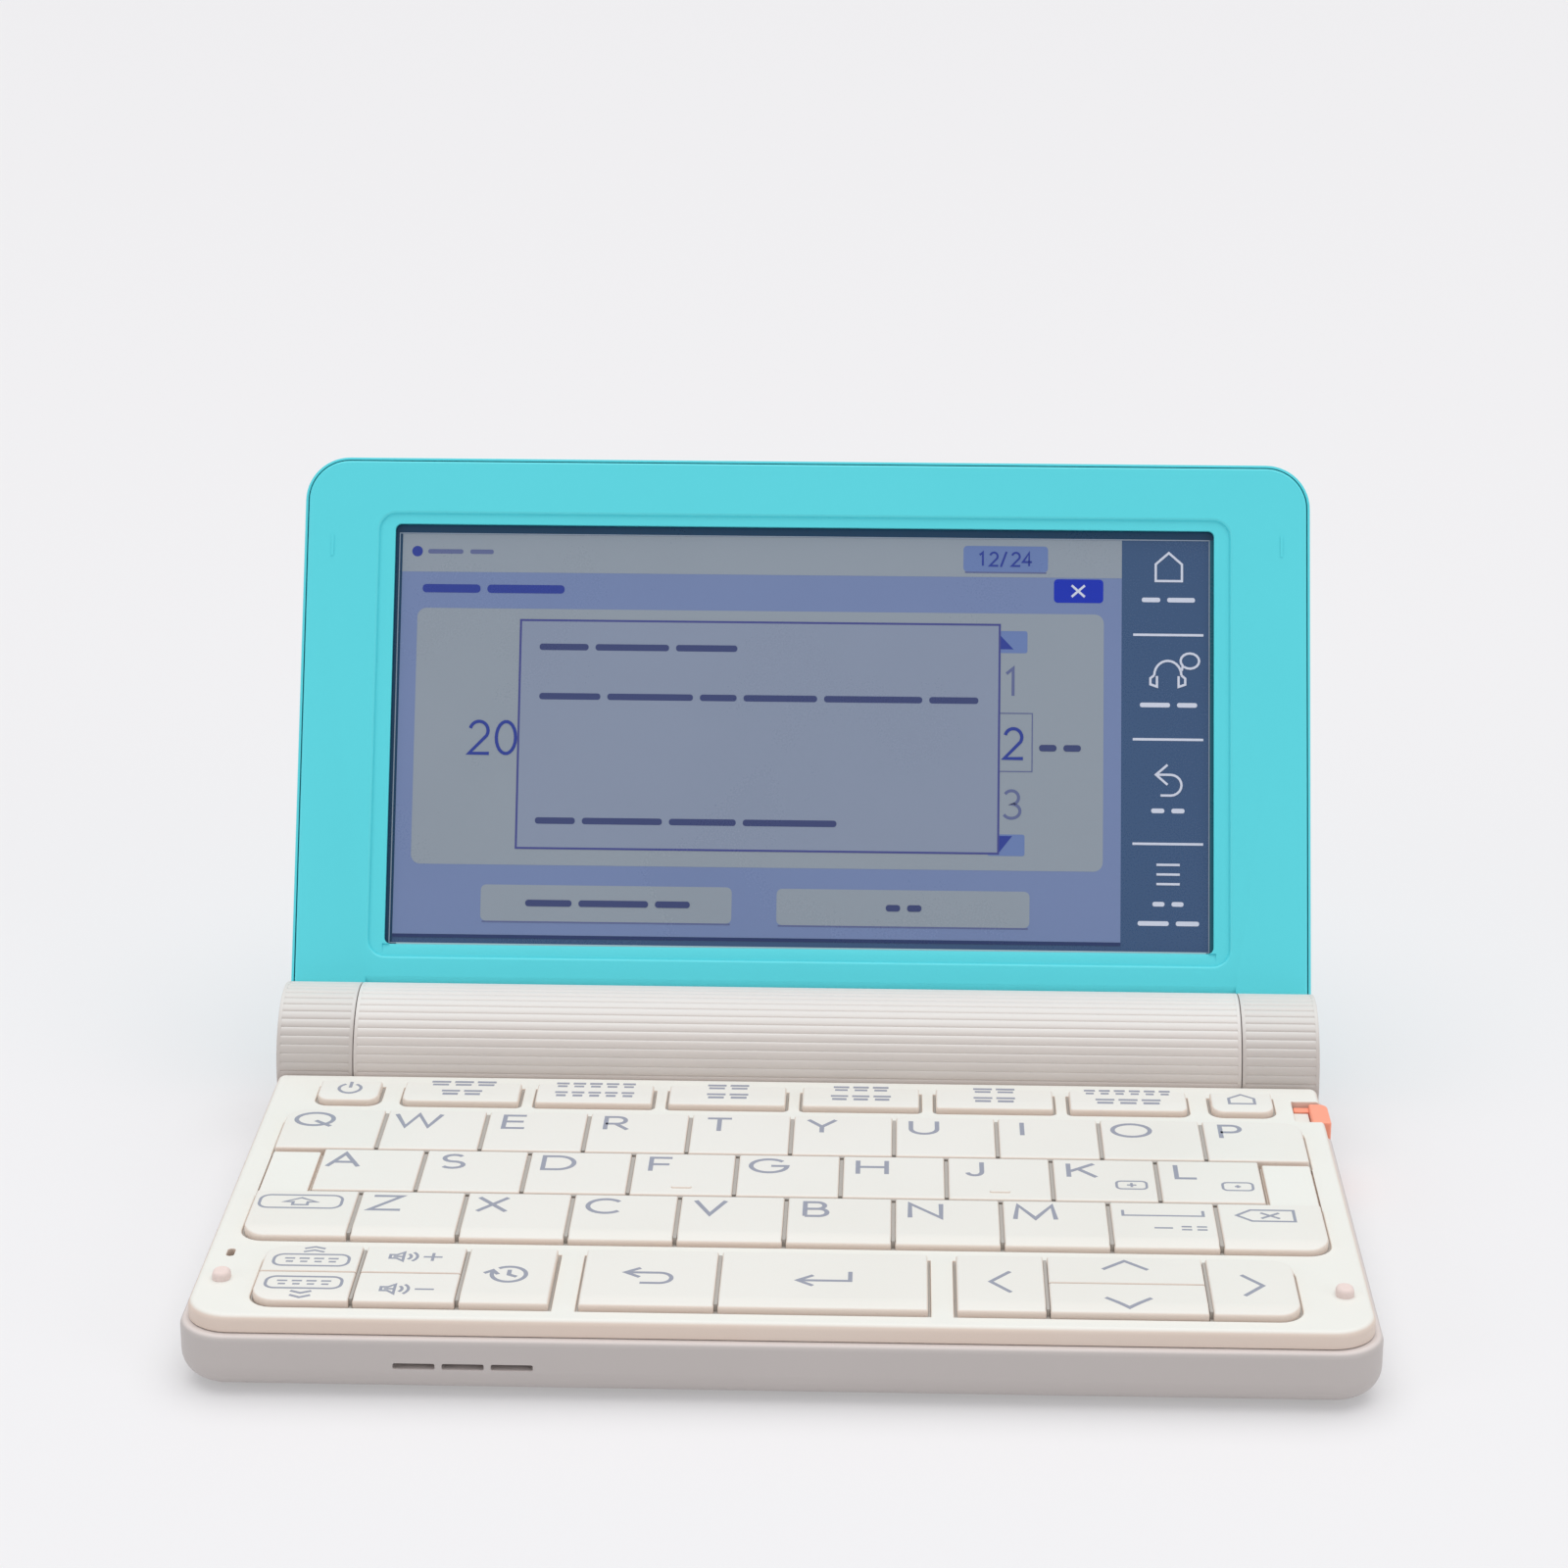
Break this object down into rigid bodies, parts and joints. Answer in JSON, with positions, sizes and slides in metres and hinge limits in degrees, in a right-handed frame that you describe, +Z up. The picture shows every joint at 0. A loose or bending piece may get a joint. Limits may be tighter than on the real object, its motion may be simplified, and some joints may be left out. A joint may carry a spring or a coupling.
{
  "type": "electronic dictionary",
  "caption": "Clamshell pocket electronic dictionary: letter keyboard in the base, touch screen in the lid, ribbed battery barrel as the hinge, side stylus.",
  "frame": {"origin": "centre of the flat underside of the base", "axes": "+X to the right of someone using it, +Y from the front edge to the hinge, +Z up"},
  "size_m": [0.131, 0.118, 0.0781],
  "materials": {
    "case": "satin moulded, grey-beige",
    "deck": "fine matt texture, ivory",
    "keys": "fine matt texture, ivory",
    "barrel": "ribbed, matt, pale beige",
    "lid": "satin turquoise",
    "screen": "smooth glass over a display",
    "stylus": "satin coral",
    "mat": "silicone",
    "board": "solder mask",
    "cells": "printed jacket, bare ends",
    "speaker": "black housing",
    "pin": "turned"
  },
  "bodies": {
    "base": {"base_case": "case", "keyboard_deck": "deck", "barrel_cover": "barrel", "battery_cells": "cells", "circuit_board": "board", "key_mat": "mat", "speaker": "speaker"},
    "lid": {"lid_back_cover": "lid", "lid_bezel": "lid", "touch_display": "screen", "knuckle_left": "barrel", "knuckle_right": "barrel", "hinge_pin": "pin"},
    "battery_cover": {"battery_cover": "barrel"},
    "stylus": {"stylus": "stylus"},
    "key_power": {"key_power": "keys"},
    "key_home": {"key_home": "keys"},
    "key_category_1": {"key_category_1": "keys"},
    "key_category_2": {"key_category_2": "keys"},
    "key_category_3": {"key_category_3": "keys"},
    "key_category_4": {"key_category_4": "keys"},
    "key_category_5": {"key_category_5": "keys"},
    "key_category_6": {"key_category_6": "keys"},
    "key_q": {"key_q": "keys"},
    "key_w": {"key_w": "keys"},
    "key_e": {"key_e": "keys"},
    "key_r": {"key_r": "keys"},
    "key_t": {"key_t": "keys"},
    "key_y": {"key_y": "keys"},
    "key_u": {"key_u": "keys"},
    "key_i": {"key_i": "keys"},
    "key_o": {"key_o": "keys"},
    "key_p": {"key_p": "keys"},
    "key_a": {"key_a": "keys"},
    "key_s": {"key_s": "keys"},
    "key_d": {"key_d": "keys"},
    "key_f": {"key_f": "keys"},
    "key_g": {"key_g": "keys"},
    "key_h": {"key_h": "keys"},
    "key_j": {"key_j": "keys"},
    "key_k": {"key_k": "keys"},
    "key_l": {"key_l": "keys"},
    "key_shift": {"key_shift": "keys"},
    "key_z": {"key_z": "keys"},
    "key_x": {"key_x": "keys"},
    "key_c": {"key_c": "keys"},
    "key_v": {"key_v": "keys"},
    "key_b": {"key_b": "keys"},
    "key_n": {"key_n": "keys"},
    "key_m": {"key_m": "keys"},
    "key_space": {"key_space": "keys"},
    "key_delete": {"key_delete": "keys"},
    "key_history": {"key_history": "keys"},
    "key_back": {"key_back": "keys"},
    "key_enter": {"key_enter": "keys"},
    "key_left": {"key_left": "keys"},
    "key_right": {"key_right": "keys"},
    "key_heading": {"key_heading": "keys"},
    "key_volume": {"key_volume": "keys"},
    "key_up_down": {"key_up_down": "keys"}
  },
  "joints": [
    {"name": "lid_hinge", "type": "hinge", "parent": "base", "child": "lid", "pos_m": [0, 0.03455, 0.0083], "axis": [-1, 0, 0], "range_deg": [-115.3, 30]},
    {"name": "battery_cover_slide", "type": "slide", "parent": "base", "child": "battery_cover", "axis": [0, 0.6947, -0.7193], "range_m": [0, 0.012]},
    {"name": "stylus_slide", "type": "slide", "parent": "base", "child": "stylus", "axis": [1, 0, 0], "range_m": [0, 0.092]},
    {"name": "press_power", "type": "slide", "parent": "base", "child": "key_power", "axis": [0, 0, -1], "range_m": [0, 0.0008], "stiffness_N_per_m": 800},
    {"name": "press_home", "type": "slide", "parent": "base", "child": "key_home", "axis": [0, 0, -1], "range_m": [0, 0.0008], "stiffness_N_per_m": 800},
    {"name": "press_category_1", "type": "slide", "parent": "base", "child": "key_category_1", "axis": [0, 0, -1], "range_m": [0, 0.0008], "stiffness_N_per_m": 800},
    {"name": "press_category_2", "type": "slide", "parent": "base", "child": "key_category_2", "axis": [0, 0, -1], "range_m": [0, 0.0008], "stiffness_N_per_m": 800},
    {"name": "press_category_3", "type": "slide", "parent": "base", "child": "key_category_3", "axis": [0, 0, -1], "range_m": [0, 0.0008], "stiffness_N_per_m": 800},
    {"name": "press_category_4", "type": "slide", "parent": "base", "child": "key_category_4", "axis": [0, 0, -1], "range_m": [0, 0.0008], "stiffness_N_per_m": 800},
    {"name": "press_category_5", "type": "slide", "parent": "base", "child": "key_category_5", "axis": [0, 0, -1], "range_m": [0, 0.0008], "stiffness_N_per_m": 800},
    {"name": "press_category_6", "type": "slide", "parent": "base", "child": "key_category_6", "axis": [0, 0, -1], "range_m": [0, 0.0008], "stiffness_N_per_m": 800},
    {"name": "press_q", "type": "slide", "parent": "base", "child": "key_q", "axis": [0, 0, -1], "range_m": [0, 0.0008], "stiffness_N_per_m": 800},
    {"name": "press_w", "type": "slide", "parent": "base", "child": "key_w", "axis": [0, 0, -1], "range_m": [0, 0.0008], "stiffness_N_per_m": 800},
    {"name": "press_e", "type": "slide", "parent": "base", "child": "key_e", "axis": [0, 0, -1], "range_m": [0, 0.0008], "stiffness_N_per_m": 800},
    {"name": "press_r", "type": "slide", "parent": "base", "child": "key_r", "axis": [0, 0, -1], "range_m": [0, 0.0008], "stiffness_N_per_m": 800},
    {"name": "press_t", "type": "slide", "parent": "base", "child": "key_t", "axis": [0, 0, -1], "range_m": [0, 0.0008], "stiffness_N_per_m": 800},
    {"name": "press_y", "type": "slide", "parent": "base", "child": "key_y", "axis": [0, 0, -1], "range_m": [0, 0.0008], "stiffness_N_per_m": 800},
    {"name": "press_u", "type": "slide", "parent": "base", "child": "key_u", "axis": [0, 0, -1], "range_m": [0, 0.0008], "stiffness_N_per_m": 800},
    {"name": "press_i", "type": "slide", "parent": "base", "child": "key_i", "axis": [0, 0, -1], "range_m": [0, 0.0008], "stiffness_N_per_m": 800},
    {"name": "press_o", "type": "slide", "parent": "base", "child": "key_o", "axis": [0, 0, -1], "range_m": [0, 0.0008], "stiffness_N_per_m": 800},
    {"name": "press_p", "type": "slide", "parent": "base", "child": "key_p", "axis": [0, 0, -1], "range_m": [0, 0.0008], "stiffness_N_per_m": 800},
    {"name": "press_a", "type": "slide", "parent": "base", "child": "key_a", "axis": [0, 0, -1], "range_m": [0, 0.0008], "stiffness_N_per_m": 800},
    {"name": "press_s", "type": "slide", "parent": "base", "child": "key_s", "axis": [0, 0, -1], "range_m": [0, 0.0008], "stiffness_N_per_m": 800},
    {"name": "press_d", "type": "slide", "parent": "base", "child": "key_d", "axis": [0, 0, -1], "range_m": [0, 0.0008], "stiffness_N_per_m": 800},
    {"name": "press_f", "type": "slide", "parent": "base", "child": "key_f", "axis": [0, 0, -1], "range_m": [0, 0.0008], "stiffness_N_per_m": 800},
    {"name": "press_g", "type": "slide", "parent": "base", "child": "key_g", "axis": [0, 0, -1], "range_m": [0, 0.0008], "stiffness_N_per_m": 800},
    {"name": "press_h", "type": "slide", "parent": "base", "child": "key_h", "axis": [0, 0, -1], "range_m": [0, 0.0008], "stiffness_N_per_m": 800},
    {"name": "press_j", "type": "slide", "parent": "base", "child": "key_j", "axis": [0, 0, -1], "range_m": [0, 0.0008], "stiffness_N_per_m": 800},
    {"name": "press_k", "type": "slide", "parent": "base", "child": "key_k", "axis": [0, 0, -1], "range_m": [0, 0.0008], "stiffness_N_per_m": 800},
    {"name": "press_l", "type": "slide", "parent": "base", "child": "key_l", "axis": [0, 0, -1], "range_m": [0, 0.0008], "stiffness_N_per_m": 800},
    {"name": "press_shift", "type": "slide", "parent": "base", "child": "key_shift", "axis": [0, 0, -1], "range_m": [0, 0.0008], "stiffness_N_per_m": 800},
    {"name": "press_z", "type": "slide", "parent": "base", "child": "key_z", "axis": [0, 0, -1], "range_m": [0, 0.0008], "stiffness_N_per_m": 800},
    {"name": "press_x", "type": "slide", "parent": "base", "child": "key_x", "axis": [0, 0, -1], "range_m": [0, 0.0008], "stiffness_N_per_m": 800},
    {"name": "press_c", "type": "slide", "parent": "base", "child": "key_c", "axis": [0, 0, -1], "range_m": [0, 0.0008], "stiffness_N_per_m": 800},
    {"name": "press_v", "type": "slide", "parent": "base", "child": "key_v", "axis": [0, 0, -1], "range_m": [0, 0.0008], "stiffness_N_per_m": 800},
    {"name": "press_b", "type": "slide", "parent": "base", "child": "key_b", "axis": [0, 0, -1], "range_m": [0, 0.0008], "stiffness_N_per_m": 800},
    {"name": "press_n", "type": "slide", "parent": "base", "child": "key_n", "axis": [0, 0, -1], "range_m": [0, 0.0008], "stiffness_N_per_m": 800},
    {"name": "press_m", "type": "slide", "parent": "base", "child": "key_m", "axis": [0, 0, -1], "range_m": [0, 0.0008], "stiffness_N_per_m": 800},
    {"name": "press_space", "type": "slide", "parent": "base", "child": "key_space", "axis": [0, 0, -1], "range_m": [0, 0.0008], "stiffness_N_per_m": 800},
    {"name": "press_delete", "type": "slide", "parent": "base", "child": "key_delete", "axis": [0, 0, -1], "range_m": [0, 0.0008], "stiffness_N_per_m": 800},
    {"name": "press_history", "type": "slide", "parent": "base", "child": "key_history", "axis": [0, 0, -1], "range_m": [0, 0.0008], "stiffness_N_per_m": 800},
    {"name": "press_back", "type": "slide", "parent": "base", "child": "key_back", "axis": [0, 0, -1], "range_m": [0, 0.0008], "stiffness_N_per_m": 800},
    {"name": "press_enter", "type": "slide", "parent": "base", "child": "key_enter", "axis": [0, 0, -1], "range_m": [0, 0.0008], "stiffness_N_per_m": 800},
    {"name": "press_left", "type": "slide", "parent": "base", "child": "key_left", "axis": [0, 0, -1], "range_m": [0, 0.0008], "stiffness_N_per_m": 800},
    {"name": "press_right", "type": "slide", "parent": "base", "child": "key_right", "axis": [0, 0, -1], "range_m": [0, 0.0008], "stiffness_N_per_m": 800},
    {"name": "rock_heading", "type": "hinge", "parent": "base", "child": "key_heading", "pos_m": [-0.05251, -0.0332, 0.0072], "axis": [1, 0, 0], "range_deg": [-3, 3], "stiffness_Nm_per_rad": 0.048},
    {"name": "rock_volume", "type": "hinge", "parent": "base", "child": "key_volume", "pos_m": [-0.04107, -0.0332, 0.0072], "axis": [1, 0, 0], "range_deg": [-3, 3], "stiffness_Nm_per_rad": 0.048},
    {"name": "rock_up_down", "type": "hinge", "parent": "base", "child": "key_up_down", "pos_m": [0.03816, -0.0332, 0.0072], "axis": [1, 0, 0], "range_deg": [-3, 3], "stiffness_Nm_per_rad": 0.048}
  ]
}
